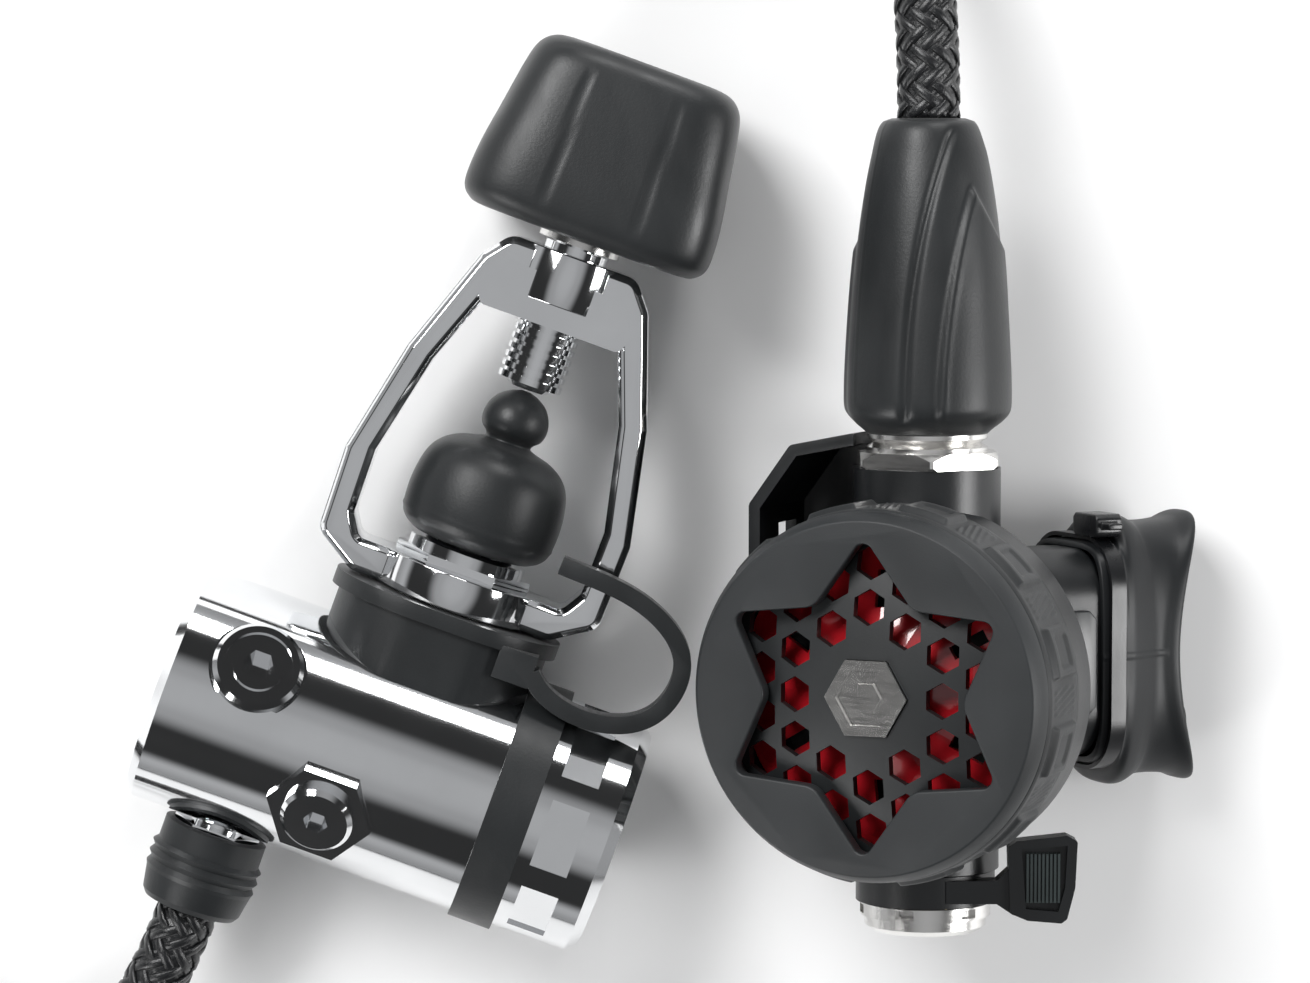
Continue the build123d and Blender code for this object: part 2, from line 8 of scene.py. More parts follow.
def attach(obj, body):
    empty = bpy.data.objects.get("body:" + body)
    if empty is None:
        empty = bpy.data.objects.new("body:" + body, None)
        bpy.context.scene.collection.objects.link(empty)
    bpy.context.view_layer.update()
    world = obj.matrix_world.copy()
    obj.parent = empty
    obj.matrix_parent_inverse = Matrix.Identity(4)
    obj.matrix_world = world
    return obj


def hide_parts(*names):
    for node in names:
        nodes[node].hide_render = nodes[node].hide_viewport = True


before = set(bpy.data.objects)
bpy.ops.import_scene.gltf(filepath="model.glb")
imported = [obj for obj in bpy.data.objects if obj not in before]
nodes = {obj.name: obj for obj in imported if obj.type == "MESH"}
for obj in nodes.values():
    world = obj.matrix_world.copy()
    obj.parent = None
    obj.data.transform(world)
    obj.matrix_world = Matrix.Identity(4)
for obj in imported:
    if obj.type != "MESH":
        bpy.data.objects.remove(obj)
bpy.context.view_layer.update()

mm = 0.001

# where the two stages lie: places in metres, angles in degrees
stage = {
    "barrelX": 0.046,
    "barrelY": -0.031,
    "barrelZ": 0.03195,
    "coverAngle": -23,
    "mouthAngle": 115,
    "bowlY": -0.033,
    "mouthY": -0.029,
    "firstX": -0.051,
    "firstY": -0.049,
    "firstZ": 0.023,
    "firstTurn": -20,
}


def facing(angle, y):
    turn = math.radians(angle)
    across = Vector((math.cos(turn), 0, -math.sin(turn)))
    outward = Vector((math.sin(turn), 0, math.cos(turn)))
    place = Matrix((across, Vector((0, 1, 0)), outward)).transposed().to_4x4()
    place.translation = (stage["barrelX"], y, stage["barrelZ"])
    return place


def firstStagePlace():
    turn = math.radians(stage["firstTurn"])
    capWay = Vector((math.cos(turn), math.sin(turn), 0))
    yokeWay = Vector((-capWay.y, capWay.x, 0))
    place = Matrix((capWay, Vector((0, 0, -1)), yokeWay)).transposed().to_4x4()
    place.translation = (stage["firstX"], stage["firstY"], stage["firstZ"])
    return place


coverPlace = facing(stage["coverAngle"], stage["bowlY"])
mouthPlace = facing(stage["mouthAngle"], stage["mouthY"])
barrelPlace = Matrix((
    (1, 0, 0, stage["barrelX"]),
    (0, 0, 1, stage["barrelY"]),
    (0, -1, 0, stage["barrelZ"]),
    (0, 0, 0, 1),
))
yokePlace = firstStagePlace()


# materials

def nodeTree(name):
    material = bpy.data.materials.new(name)
    material.use_nodes = True
    tree = material.node_tree
    shader = tree.nodes["Principled BSDF"]
    return material, tree, shader


def objectCoordinates(tree, scale=(1, 1, 1)):
    coordinates = tree.nodes.new("ShaderNodeTexCoord")
    mapping = tree.nodes.new("ShaderNodeMapping")
    mapping.inputs["Scale"].default_value = scale
    tree.links.new(coordinates.outputs["Object"], mapping.inputs["Vector"])
    return mapping.outputs["Vector"]


def noise(tree, vector, scale, detail=4, roughness=0.55):
    texture = tree.nodes.new("ShaderNodeTexNoise")
    texture.inputs["Scale"].default_value = scale
    texture.inputs["Detail"].default_value = detail
    texture.inputs["Roughness"].default_value = roughness
    tree.links.new(vector, texture.inputs["Vector"])
    return texture.outputs["Fac"]


def spread(tree, value, low, high):
    # a noise mostly stays in the middle of its range
    ramp = tree.nodes.new("ShaderNodeMapRange")
    ramp.inputs["From Min"].default_value = 0.3
    ramp.inputs["From Max"].default_value = 0.7
    ramp.inputs["To Min"].default_value = low
    ramp.inputs["To Max"].default_value = high
    tree.links.new(value, ramp.inputs["Value"])
    return ramp.outputs["Result"]


def blendColours(tree, value, first, second):
    mix = tree.nodes.new("ShaderNodeMix")
    mix.data_type = "RGBA"
    mix.inputs[6].default_value = (*first, 1)
    mix.inputs[7].default_value = (*second, 1)
    tree.links.new(value, mix.inputs[0])
    return mix.outputs[2]


def bumpFrom(tree, height, distance, strength):
    bump = tree.nodes.new("ShaderNodeBump")
    bump.inputs["Distance"].default_value = distance
    bump.inputs["Strength"].default_value = strength
    tree.links.new(height, bump.inputs["Height"])
    return bump.outputs["Normal"]


def mouldedFinish(name, look):
    material, tree, shader = nodeTree(name)
    where = objectCoordinates(tree)
    cloud = noise(tree, where, 45, 3)
    grain = noise(tree, where, look["grainScale"], 3, 0.6)
    dark = tuple(c * 0.82 for c in look["colour"])
    light = tuple(c * 1.2 for c in look["colour"])
    mottled = blendColours(tree, spread(tree, cloud, 0, 1), dark, light)
    tree.links.new(mottled, shader.inputs["Base Color"])
    smear = noise(tree, objectCoordinates(tree, (1, 0.35, 1)), 130, 5)
    rough = spread(tree, smear, look["rough"] - look["roughVary"], look["rough"] + look["roughVary"])
    tree.links.new(rough, shader.inputs["Roughness"])
    normal = bumpFrom(tree, grain, look["grainDepth"], look["grainStrength"])
    tree.links.new(normal, shader.inputs["Normal"])
    shader.inputs["Specular IOR Level"].default_value = look.get("specular", 0.5)
    shader.inputs["Coat Weight"].default_value = look.get("coat", 0)
    shader.inputs["Coat Roughness"].default_value = look.get("coatRough", 0.2)
    shader.inputs["Sheen Weight"].default_value = look.get("sheen", 0)
    return material


def metalFinish(name, look):
    material, tree, shader = nodeTree(name)
    shader.inputs["Metallic"].default_value = 1
    where = objectCoordinates(tree)
    lines = noise(tree, objectCoordinates(tree, look["stretch"]), look["lineScale"], 4, 0.7)
    stains = noise(tree, where, 60, 4)
    worn = tuple(c * 0.93 for c in look["colour"])
    tint = blendColours(tree, spread(tree, stains, 0, 1), look["colour"], worn)
    tree.links.new(tint, shader.inputs["Base Color"])
    rough = spread(tree, lines, look["rough"] * 0.88, look["rough"] * 1.15)
    tree.links.new(rough, shader.inputs["Roughness"])
    tree.links.new(bumpFrom(tree, lines, 0.00004, look["lineStrength"]), shader.inputs["Normal"])
    return material


finishes = {
    "casePlastic": mouldedFinish("case plastic", {
        "colour": (0.0085, 0.0095, 0.0105), "rough": 0.36, "roughVary": 0.05, "grainScale": 2600,
        "grainDepth": 0.00006, "grainStrength": 0.35, "specular": 0.5,
    }),
    "ringPlastic": mouldedFinish("cover ring plastic", {
        "colour": (0.016, 0.018, 0.0195), "rough": 0.5, "roughVary": 0.04, "grainScale": 3200,
        "grainDepth": 0.00006, "grainStrength": 0.4, "specular": 0.42,
    }),
    "platePlastic": mouldedFinish("purge plate plastic", {
        "colour": (0.0125, 0.014, 0.015), "rough": 0.46, "roughVary": 0.05, "grainScale": 3000,
        "grainDepth": 0.00005, "grainStrength": 0.35, "specular": 0.42,
    }),
    "gripRubber": mouldedFinish("grip rubber", {
        "colour": (0.0115, 0.013, 0.014), "rough": 0.5, "roughVary": 0.07, "grainScale": 2200,
        "grainDepth": 0.00009, "grainStrength": 0.45, "specular": 0.4, "sheen": 0.06,
    }),
    "bootRubber": mouldedFinish("boot rubber", {
        "colour": (0.0120, 0.0135, 0.0145), "rough": 0.42, "roughVary": 0.07, "grainScale": 1800,
        "grainDepth": 0.00008, "grainStrength": 0.35, "specular": 0.42, "sheen": 0.05,
    }),
    "mouthRubber": mouldedFinish("mouthpiece silicone", {
        "colour": (0.0080, 0.0092, 0.0104), "rough": 0.44, "roughVary": 0.06, "grainScale": 1500,
        "grainDepth": 0.00006, "grainStrength": 0.25, "specular": 0.34, "sheen": 0.02,
    }),
    "tieNylon": mouldedFinish("tie nylon", {
        "colour": (0.0070, 0.0075, 0.0085), "rough": 0.3, "roughVary": 0.05, "grainScale": 2400,
        "grainDepth": 0.00005, "grainStrength": 0.3,
    }),
    "glossPanel": mouldedFinish("panel gloss", {
        "colour": (0.0130, 0.0150, 0.0165), "rough": 0.3, "roughVary": 0.04, "grainScale": 900,
        "grainDepth": 0.00003, "grainStrength": 0.2, "coat": 0.15, "coatRough": 0.25,
    }),
    "redPlastic": mouldedFinish("red dish plastic", {
        "colour": (0.52, 0.012, 0.020), "rough": 0.2, "roughVary": 0.04, "grainScale": 700,
        "grainDepth": 0.00003, "grainStrength": 0.2, "coat": 0.8, "coatRough": 0.06,
    }),
    "leverGrey": mouldedFinish("lever rib plastic", {
        "colour": (0.040, 0.052, 0.052), "rough": 0.42, "roughVary": 0.05, "grainScale": 2600,
        "grainDepth": 0.00005, "grainStrength": 0.3,
    }),
    "braidNylon": mouldedFinish("hose braid", {
        "colour": (0.0055, 0.0060, 0.0070), "rough": 0.27, "roughVary": 0.07, "grainScale": 5200,
        "grainDepth": 0.00012, "grainStrength": 0.5, "specular": 0.6, "sheen": 0.1,
    }),
    "windowGrey": mouldedFinish("window grey", {
        "colour": (0.085, 0.092, 0.098), "rough": 0.16, "roughVary": 0.03, "grainScale": 900,
        "grainDepth": 0.00002, "grainStrength": 0.2, "coat": 0.6, "coatRough": 0.05,
    }),
    "chrome": metalFinish("chrome", {
        "colour": (0.86, 0.87, 0.88), "rough": 0.07, "stretch": (1, 1, 1),
        "lineScale": 90, "lineStrength": 0.06,
    }),
    "steel": metalFinish("polished steel", {
        "colour": (0.84, 0.83, 0.81), "rough": 0.22, "stretch": (1, 6, 1),
        "lineScale": 260, "lineStrength": 0.01,
    }),
    "brass": metalFinish("inner brass", {
        "colour": (0.72, 0.58, 0.30), "rough": 0.24, "stretch": (1, 1, 1),
        "lineScale": 900, "lineStrength": 0.15,
    }),
}

nodeFinishes = {
    "casePlastic": "case_shell exhaust_deflector venturi_lever diaphragm_clamp diaphragm exhaust_valve "
                   "first_diaphragm poppet_seat barrel_rings inlet_ring",
    "ringPlastic": "front_ring",
    "platePlastic": "purge_plate",
    "bootRubber": "yoke_boot body_band hose_sleeve dust_cap knob_cover",
    "tieNylon": "tie_strap tie_head",
    "glossPanel": "horn_panel",
    "redPlastic": "red_dish",
    "leverGrey": "lever_ribs venturi_vane",
    "windowGrey": "cap_window",
    "chrome": "first_body first_end_cap yoke_frame yoke_plate yoke_retainer yoke_screw high_pressure_plug "
              "low_pressure_plug hose_nut",
    "steel": "centre_badge inlet_collar inlet_flange end_cap diaphragm_disc lever_pin demand_lever "
             "poppet_spring main_spring high_pressure_spring filter_clip inlet_filter screw_washer",
    "brass": "valve_tube spring_plug orifice_tube poppet spring_adjuster thrust_pad "
             "high_pressure_poppet knob_core",
}

for finish, names in nodeFinishes.items():
    for name in names.split():
        nodes[name].data.materials.clear()
        nodes[name].data.materials.append(finishes[finish])
print("materials on the frame's nodes")


# mesh helpers

def addPiece(name, vertices, faces, material):
    mesh = bpy.data.meshes.new(name)
    mesh.from_pydata([tuple(v) for v in vertices], [], faces)
    shaped = bmesh.new()
    shaped.from_mesh(mesh)
    bmesh.ops.remove_doubles(shaped, verts=shaped.verts, dist=1e-6)
    bmesh.ops.recalc_face_normals(shaped, faces=shaped.faces)
    shaped.to_mesh(mesh)
    shaped.free()
    mesh.materials.append(material)
    mesh.shade_smooth()
    piece = bpy.data.objects.new(name, mesh)
    bpy.context.scene.collection.objects.link(piece)
    return piece


def sweptGrid(rows, around, pointAt, closedRows=False):
    vertices = [pointAt(i, k) for i in range(rows) for k in range(around)]
    faces = []
    for i in range(rows if closedRows else rows - 1):
        j = (i + 1) % rows
        for k in range(around):
            n = (k + 1) % around
            faces.append((i * around + k, i * around + n, j * around + n, j * around + k))
    return vertices, faces


def smoothStep(low, high, value):
    t = min(1, max(0, (value - low) / (high - low)))
    return t * t * (3 - 2 * t)


def along(stations, value):
    # smooth curve through (place, height) stations
    if value <= stations[0][0]:
        return stations[0][1]
    for i in range(len(stations) - 1):
        (x0, y0), (x1, y1) = stations[i], stations[i + 1]
        if value <= x1:
            before = stations[max(0, i - 1)]
            after = stations[min(len(stations) - 1, i + 2)]
            span = x1 - x0
            m0 = (y1 - before[1]) / max(1e-9, x1 - before[0]) * span
            m1 = (after[1] - y0) / max(1e-9, after[0] - x0) * span
            t = (value - x0) / span
            return ((2 * t**3 - 3 * t**2 + 1) * y0 + (t**3 - 2 * t**2 + t) * m0
                    + (3 * t**2 - 2 * t**3) * y1 + (t**3 - t**2) * m1)
    return stations[-1][1]


def roundedSquare(angle, halfWidth, halfDepth, power):
    c, s = math.cos(angle), math.sin(angle)
    reach = (abs(c / halfWidth) ** power + abs(s / halfDepth) ** power) ** (-1 / power)
    return reach * c, reach * s


# hose protector: moulded rubber with a long groove and a raised leaf on each side

protector = {
    "rows": 150,
    "around": 176,
    "profile": [(42.6, 10.9), (43.2, 11.5), (44.6, 13.1), (46.4, 14.2), (49, 14.5), (58, 14.2), (70, 13.4),
                (80, 12.3), (88, 11.1), (93, 10.1), (96.4, 9.3), (98.1, 8.5), (98.8, 7.6), (99, 6.6)],
    "bore": 5.75,
    "boreDepth": 4,
    "grooveDepth": 0.65,
    "grooveWidth": 0.75,
    "leafHeight": 0.85,
    "leafTop": 87.4,
}


def protectorRadius(y, angle):
    radius = along(protector["profile"], y)
    side = 1 if math.cos(angle) >= 0 else -1
    x = radius * math.sin(angle) * side
    onFace = smoothStep(0.02, 0.25, abs(math.cos(angle)))
    groove = -5 + 9.3 * (max(0, y - 43.4) / 54.6) ** 2.4
    dip = math.exp(-((x - groove) / protector["grooveWidth"]) ** 2)
    dip *= smoothStep(44, 47, y) * (1 - smoothStep(95, 98, y)) * onFace
    leafEdge = 0.8 + 6.1 * (max(0, y - 42) / 45.4) ** 2.1
    below = protector["leafTop"] - 1.9 * max(0, x - 6.9) - y
    leaf = smoothStep(-0.5, 0.9, x - leafEdge) * smoothStep(-0.4, 1.6, below)
    ridge = math.exp(-((x - leafEdge - 0.9) / 0.7) ** 2) * smoothStep(0, 3, below) * 0.25
    fullness = 0.35 * smoothStep(60, 85, y) * max(0, math.sin(angle)) * (1 - smoothStep(92, 97, y))
    seam = 0.12 * math.exp(-((angle - math.radians(292)) / 0.012) ** 2) * smoothStep(46, 50, y)
    fade = smoothStep(43, 47, y)
    raised = (protector["leafHeight"] * leaf + ridge) * onFace * fade
    return radius + fullness + seam - protector["grooveDepth"] * dip + raised


def hoseProtector():
    rows, around = protector["rows"], protector["around"]
    start, end = protector["profile"][0][0], protector["profile"][-1][0]

    def pointAt(i, k):
        angle = 2 * math.pi * k / around
        if i == 0:
            radius, y = protector["bore"], start
        elif i > rows:
            radius, y = protector["bore"], end - protector["boreDepth"] * (i - rows)
        else:
            t = (i - 1) / (rows - 1)
            t = t + 0.06 * math.sin(2 * math.pi * t)
            y = start + (end - start) * t
            radius = protectorRadius(y, angle)
        return barrelPlace @ Vector((radius * math.sin(angle) * mm, -radius * math.cos(angle) * mm, y * mm))

    vertices, faces = sweptGrid(rows + 2, around, pointAt)
    last = (rows + 1) * around
    faces.append(tuple(range(last, last + around)))
    faces.append(tuple(range(around - 1, -1, -1)))
    piece = addPiece("hose_protector_rubber", vertices, faces, finishes["bootRubber"])
    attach(piece, "root")
    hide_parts("hose_protector")


hoseProtector()
print("hose protector")


# grip band round the cover: rubber with pads, ribs between them and soft edges

band = {
    "start": 12.0,
    "end": 29.0,
    "radius": 32.9,
    "inner": 32.62,
    "pads": 12,
    "padHeight": 1.0,
    "ribHeight": 0.28,
    "edgeRound": 0.5,
    "around": 720,
    "rows": 42,
}


def bandRadius(height, angle):
    t = (height - band["start"]) / (band["end"] - band["start"])
    edge = smoothStep(0, 0.1, t) * (1 - smoothStep(0.93, 1, t))
    place = (angle / (2 * math.pi) * band["pads"]) % 1
    acrossPad = 1 - smoothStep(0.24, 0.28, abs(place - 0.5))
    alongPad = smoothStep(0.16, 0.24, t) * (1 - smoothStep(0.8, 0.88, t))
    pad = acrossPad * alongPad
    hollow = 1 - smoothStep(0.14, 0.18, abs(place - 0.5))
    hollow *= smoothStep(0.32, 0.38, t) * (1 - smoothStep(0.66, 0.72, t))
    between = smoothStep(0.34, 0.38, abs(place - 0.5)) * alongPad
    ribs = 0.5 + 0.5 * math.sin((place - 0.5 + 0.25 * t) * 2 * math.pi * 14)
    raised = band["padHeight"] * (pad - 0.45 * hollow) + band["ribHeight"] * ribs * between
    return band["radius"] - band["edgeRound"] * (1 - edge) + raised


def gripBand():
    rows, around = band["rows"], band["around"]

    def pointAt(i, k):
        angle = 2 * math.pi * k / around
        if i >= rows:
            height = band["end"] if i == rows else band["start"]
            radius = band["inner"]
        else:
            height = band["start"] + (band["end"] - band["start"]) * i / (rows - 1)
            radius = bandRadius(height, angle)
        x, y = radius * math.cos(angle), radius * math.sin(angle)
        return coverPlace @ Vector((x * mm, y * mm, height * mm))

    vertices, faces = sweptGrid(rows + 2, around, pointAt, True)
    piece = addPiece("grip_band_rubber", vertices, faces, finishes["gripRubber"])
    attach(piece, "root")
    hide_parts("grip_band")


gripBand()
print("grip band")


# mouthpiece: bulging soft rubber, curved flange, two bite tabs

mouthRubber = {
    # distance out, half width, half height, squareness
    "outer": [
        (28.9, 20.0, 13.5, 5.0), (30.2, 20.2, 13.8, 5.0), (33.3, 20.5, 14.0, 4.6), (34.2, 22.6, 14.0, 3.4),
        (35.6, 24.6, 13.9, 3.0), (37.6, 25.0, 13.3, 2.8), (39.6, 24.3, 12.6, 2.7), (41.2, 23.4, 12.1, 2.7),
        (42.4, 23.5, 12.0, 2.7), (43.6, 24.3, 12.2, 2.7), (44.7, 24.9, 12.4, 2.7), (45.6, 25.0, 12.4, 2.7),
        (46.15, 24.6, 12.0, 2.7), (46.3, 23.2, 11.0, 2.7), (46.0, 19.0, 9.0, 3.0), (45.6, 15.2, 7.2, 3.6),
        (44.6, 13.7, 6.6, 4.0), (42.0, 13.5, 6.5, 4.0), (40.0, 13.5, 6.5, 4.0),
    ],
    "curve": 44.0,
    "around": 160,
    "perStation": 5,
}


def mouthSection(t):
    stations = mouthRubber["outer"]
    place = t * (len(stations) - 1)
    indexed = [[(i, row[c]) for i, row in enumerate(stations)] for c in range(4)]
    return [along(column, place) for column in indexed]


def mouthpieceRubber():
    rows = (len(mouthRubber["outer"]) - 1) * mouthRubber["perStation"] + 1
    around = mouthRubber["around"]
    flangeFrom = 40.5

    def pointAt(i, k):
        m, a, b, power = mouthSection(i / (rows - 1))
        angle = 2 * math.pi * k / around
        down, side = roundedSquare(angle, b, a, power)
        curve = mouthRubber["curve"]
        bow = (curve - math.sqrt(curve * curve - side * side)) * smoothStep(flangeFrom, 43.4, m)
        seam = 0.25 * math.exp(-((angle - math.pi) / 0.02) ** 2) * (1 - smoothStep(42, 44, m))
        return mouthPlace @ Vector(((down - seam) * mm, side * mm, (m + bow) * mm))

    vertices, faces = sweptGrid(rows, around, pointAt)
    start = len(vertices)
    inner = [mouthPlace @ Vector((x * mm, y * mm, 28.9 * mm)) for x, y in
             (roundedSquare(2 * math.pi * k / around, 12.6, 19.1, 5) for k in range(around))]
    vertices += inner
    faces += [(k, start + k, start + (k + 1) % around, (k + 1) % around) for k in range(around)]
    piece = addPiece("mouthpiece_rubber", vertices, faces, finishes["mouthRubber"])
    tabs = biteTabs()
    for part in [piece] + tabs:
        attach(part, "root")
    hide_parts("mouthpiece")


def biteTabs():
    rows, around = 31, 48
    made = []
    for name, side in (("left", -1), ("right", 1)):
        def pointAt(i, k, side=side):
            angle = 2 * math.pi * k / around
            t = i / (rows - 1)
            reach = 48 + 7 * t
            tip = 1 if t < 0.94 else math.sqrt(max(0.02, 1 - ((t - 0.94) / 0.06) ** 2))
            thick = 2.4 - 0.5 * t + 1.7 * math.exp(-((t - 0.9) / 0.09) ** 2)
            thick += 0.9 * math.exp(-((t - 0.02) / 0.1) ** 2)
            thick *= tip
            wide = (5.9 - 0.7 * t) * tip
            down, across = roundedSquare(angle, thick, wide, 3.2)
            return mouthPlace @ Vector(((2.5 + down) * mm, (side * 16.4 + across) * mm, reach * mm))
        vertices, faces = sweptGrid(rows, around, pointAt)
        faces.append(tuple(range(around - 1, -1, -1)))
        faces.append(tuple(range((rows - 1) * around, rows * around)))
        made.append(addPiece("bite_tab_" + name, vertices, faces, finishes["mouthRubber"]))
    return made


mouthpieceRubber()
print("mouthpiece")


# yoke knob: tapered rounded square of rubber with two faint lines on each broad side

knob = {
    # height, half width, half depth, squareness
    "rows": [
        (101.25, 19.6, 17.2, 4), (101.6, 21.2, 18.7, 4), (103.2, 22.9, 20.3, 4.4), (106, 23.4, 20.9, 4.6),
        (112, 23.0, 20.6, 4.6), (120, 21.7, 19.5, 4.4), (128, 20.4, 18.4, 4.2), (132, 19.3, 17.4, 4),
        (134.1, 17.4, 15.6, 3.8), (134.9, 14.8, 13.0, 3.6), (135, 10, 9, 3.2),
    ],
    "around": 160,
    "perStation": 7,
    "lineAt": 8.5,
}


def knobCover():
    stations = knob["rows"]
    rows = (len(stations) - 1) * knob["perStation"] + 1
    columns = [[(i, row[c]) for i, row in enumerate(stations)] for c in range(4)]

    def pointAt(i, k):
        place = i / knob["perStation"]
        height, a, b, power = (along(column, place) for column in columns)
        angle = 2 * math.pi * k / knob["around"]
        across, deep = roundedSquare(angle, a, b, power)
        line = math.exp(-((abs(across) - knob["lineAt"]) / 0.45) ** 2) * smoothStep(104, 108, height)
        line *= 1 - smoothStep(128, 132, height)
        deep *= 1 - 0.022 * line
        return yokePlace @ Vector((across * mm, deep * mm, height * mm))

    vertices, faces = sweptGrid(rows, knob["around"], pointAt)
    around = knob["around"]
    faces.append(tuple(range((rows - 1) * around, rows * around)))
    faces.append(tuple(range(around - 1, -1, -1)))
    piece = addPiece("knob_cover_rubber", vertices, faces, finishes["bootRubber"])
    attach(piece, "knob")
    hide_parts("knob_cover")


def dustCap():
    # height, radius
    outline = [
        (41.9, 10.4), (42.1, 11.2), (43.2, 13.0), (45, 14.1), (48.8, 14.5), (53, 14.2), (56.6, 13.2),
        (59, 11.4), (60.6, 8.8), (61.4, 6.0), (61.9, 4.6), (62.3, 4.3), (62.9, 4.6), (64, 5.7),
        (65.8, 6.15), (68, 5.75), (70, 4.5), (71.3, 2.6), (71.9, 0.9),
    ]
    perStation = 5
    rows = (len(outline) - 1) * perStation + 1
    around = 96
    columns = [[(i, row[c]) for i, row in enumerate(outline)] for c in range(2)]

    def pointAt(i, k):
        height, radius = (along(column, i / perStation) for column in columns)
        angle = 2 * math.pi * k / around
        radius += 0.16 * math.exp(-((height - 45.6) / 0.35) ** 2)
        return yokePlace @ Vector((radius * math.cos(angle) * mm, radius * math.sin(angle) * mm, height * mm))

    vertices, faces = sweptGrid(rows, around, pointAt)
    faces.append(tuple(range((rows - 1) * around, rows * around)))
    faces.append(tuple(range(around - 1, -1, -1)))
    piece = addPiece("dust_cap_rubber", vertices, faces, finishes["bootRubber"])
    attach(piece, "cap")
    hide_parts("dust_cap")


knobCover()
dustCap()
print("knob and dust cap")


# rounded edges on parts that carry over from the frame

def softened(node, body, width, angle, finish):
    source = nodes[node]
    copy = bpy.data.objects.new(node + "_rounded", source.data.copy())
    bpy.context.scene.collection.objects.link(copy)
    shaped = bmesh.new()
    shaped.from_mesh(copy.data)
    bmesh.ops.remove_doubles(shaped, verts=shaped.verts, dist=2e-6)
    bmesh.ops.dissolve_limit(shaped, angle_limit=math.radians(0.6), verts=shaped.verts, edges=shaped.edges)
    bmesh.ops.recalc_face_normals(shaped, faces=shaped.faces)
    shaped.to_mesh(copy.data)
    shaped.free()
    bevel = copy.modifiers.new("rounding", "BEVEL")
    bevel.width = width
    bevel.segments = 3
    bevel.limit_method = "ANGLE"
    bevel.angle_limit = math.radians(angle)
    result = bpy.data.meshes.new_from_object(copy.evaluated_get(bpy.context.evaluated_depsgraph_get()))
    copy.modifiers.clear()
    copy.data = result
    result.materials.clear()
    result.materials.append(finishes[finish])
    for face in result.polygons:
        face.material_index = 0
    result.shade_smooth()
    result.set_sharp_from_angle(angle=math.radians(40))
    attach(copy, body)
    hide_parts(node)
    return copy


for node, width, finish, slotName in [
    ("front_ring", 0.00035, "ringPlastic", "case_plastic"),
    ("yoke_frame", 0.0006, "chrome", "chrome"),
    ("exhaust_deflector", 0.0005, "casePlastic", "case_plastic"),
    ("horn_panel", 0.00025, "glossPanel", "panel_gloss"),
    ("tie_head", 0.0003, "tieNylon", "tie_plastic"),
    ("yoke_boot", 0.0004, "bootRubber", "grip_rubber"),
    ("dust_strap", 0.0004, "bootRubber", "grip_rubber"),
]:
    softened(node, "root", width, 35, finish)
print("rounded parts")


# hose: braided cover on a rubber tube, along the route of the CAD tube

hoseRoute = [
    (0.0460, 0.0680, 0.03195), (0.0460, 0.0920, 0.0314), (0.0405, 0.1160, 0.0245),
    (0.0230, 0.1350, 0.0135), (-0.0070, 0.1435, 0.0070), (-0.0500, 0.1445, 0.0058),
    (-0.0960, 0.1415, 0.0058), (-0.1370, 0.1260, 0.0058), (-0.1630, 0.0940, 0.0058),
    (-0.1750, 0.0530, 0.0058), (-0.1785, 0.0080, 0.0058), (-0.1795, -0.0380, 0.0058),
    (-0.1780, -0.0800, 0.0062), (-0.1645, -0.1030, 0.0085), (-0.1415, -0.1145, 0.0125),
    (-0.1160, -0.1123, 0.0180), (-0.0964, -0.0965, 0.0224), (-0.08843, -0.07582, 0.0230),
]

hoseLook = {
    "diameter": 0.0114,
    "core": 0.00515,
    "carriers": 8,
    "turns": 22,
    "stepsPerTurn": 32,
    "strandWidth": 0.00185,
    "strandThick": 0.00032,
    "lift": 0.00028,
}


def routeSpline(points):
    curve = bpy.data.curves.new("hose route", "CURVE")
    curve.dimensions = "3D"
    spline = curve.splines.new("NURBS")
    spline.points.add(len(points) - 1)
    for target, point in zip(spline.points, points):
        target.co = (*point, 1)
    spline.order_u = 3
    spline.use_endpoint_u = True
    spline.resolution_u = 24
    return curve


def routePoints(points):
    curve = routeSpline(points)
    holder = bpy.data.objects.new("hose route", curve)
    bpy.context.scene.collection.objects.link(holder)
    line = bpy.data.meshes.new_from_object(holder)
    found = [v.co.copy() for v in line.vertices]
    bpy.data.objects.remove(holder)
    bpy.data.meshes.remove(line)
    return found


def lengthsAlong(points):
    total = [0.0]
    for before, after in zip(points, points[1:]):
        total.append(total[-1] + (after - before).length)
    return total


def framesAlong(points, count):
    # evenly spaced places with a side and an up direction that don't twist
    lengths = lengthsAlong(points)
    frames = []
    side = Vector((1, 0, 0))
    segment = 0
    for i in range(count):
        target = lengths[-1] * i / (count - 1)
        while segment < len(points) - 2 and lengths[segment + 1] < target:
            segment += 1
        t = (target - lengths[segment]) / (lengths[segment + 1] - lengths[segment])
        here = points[segment].lerp(points[segment + 1], t)
        before = points[max(0, segment - 1)]
        after = points[min(len(points) - 1, segment + 2)]
        way = (after - before).normalized()
        side = (side - way * side.dot(way)).normalized()
        frames.append((here, side.copy(), way.cross(side), way))
    return frames


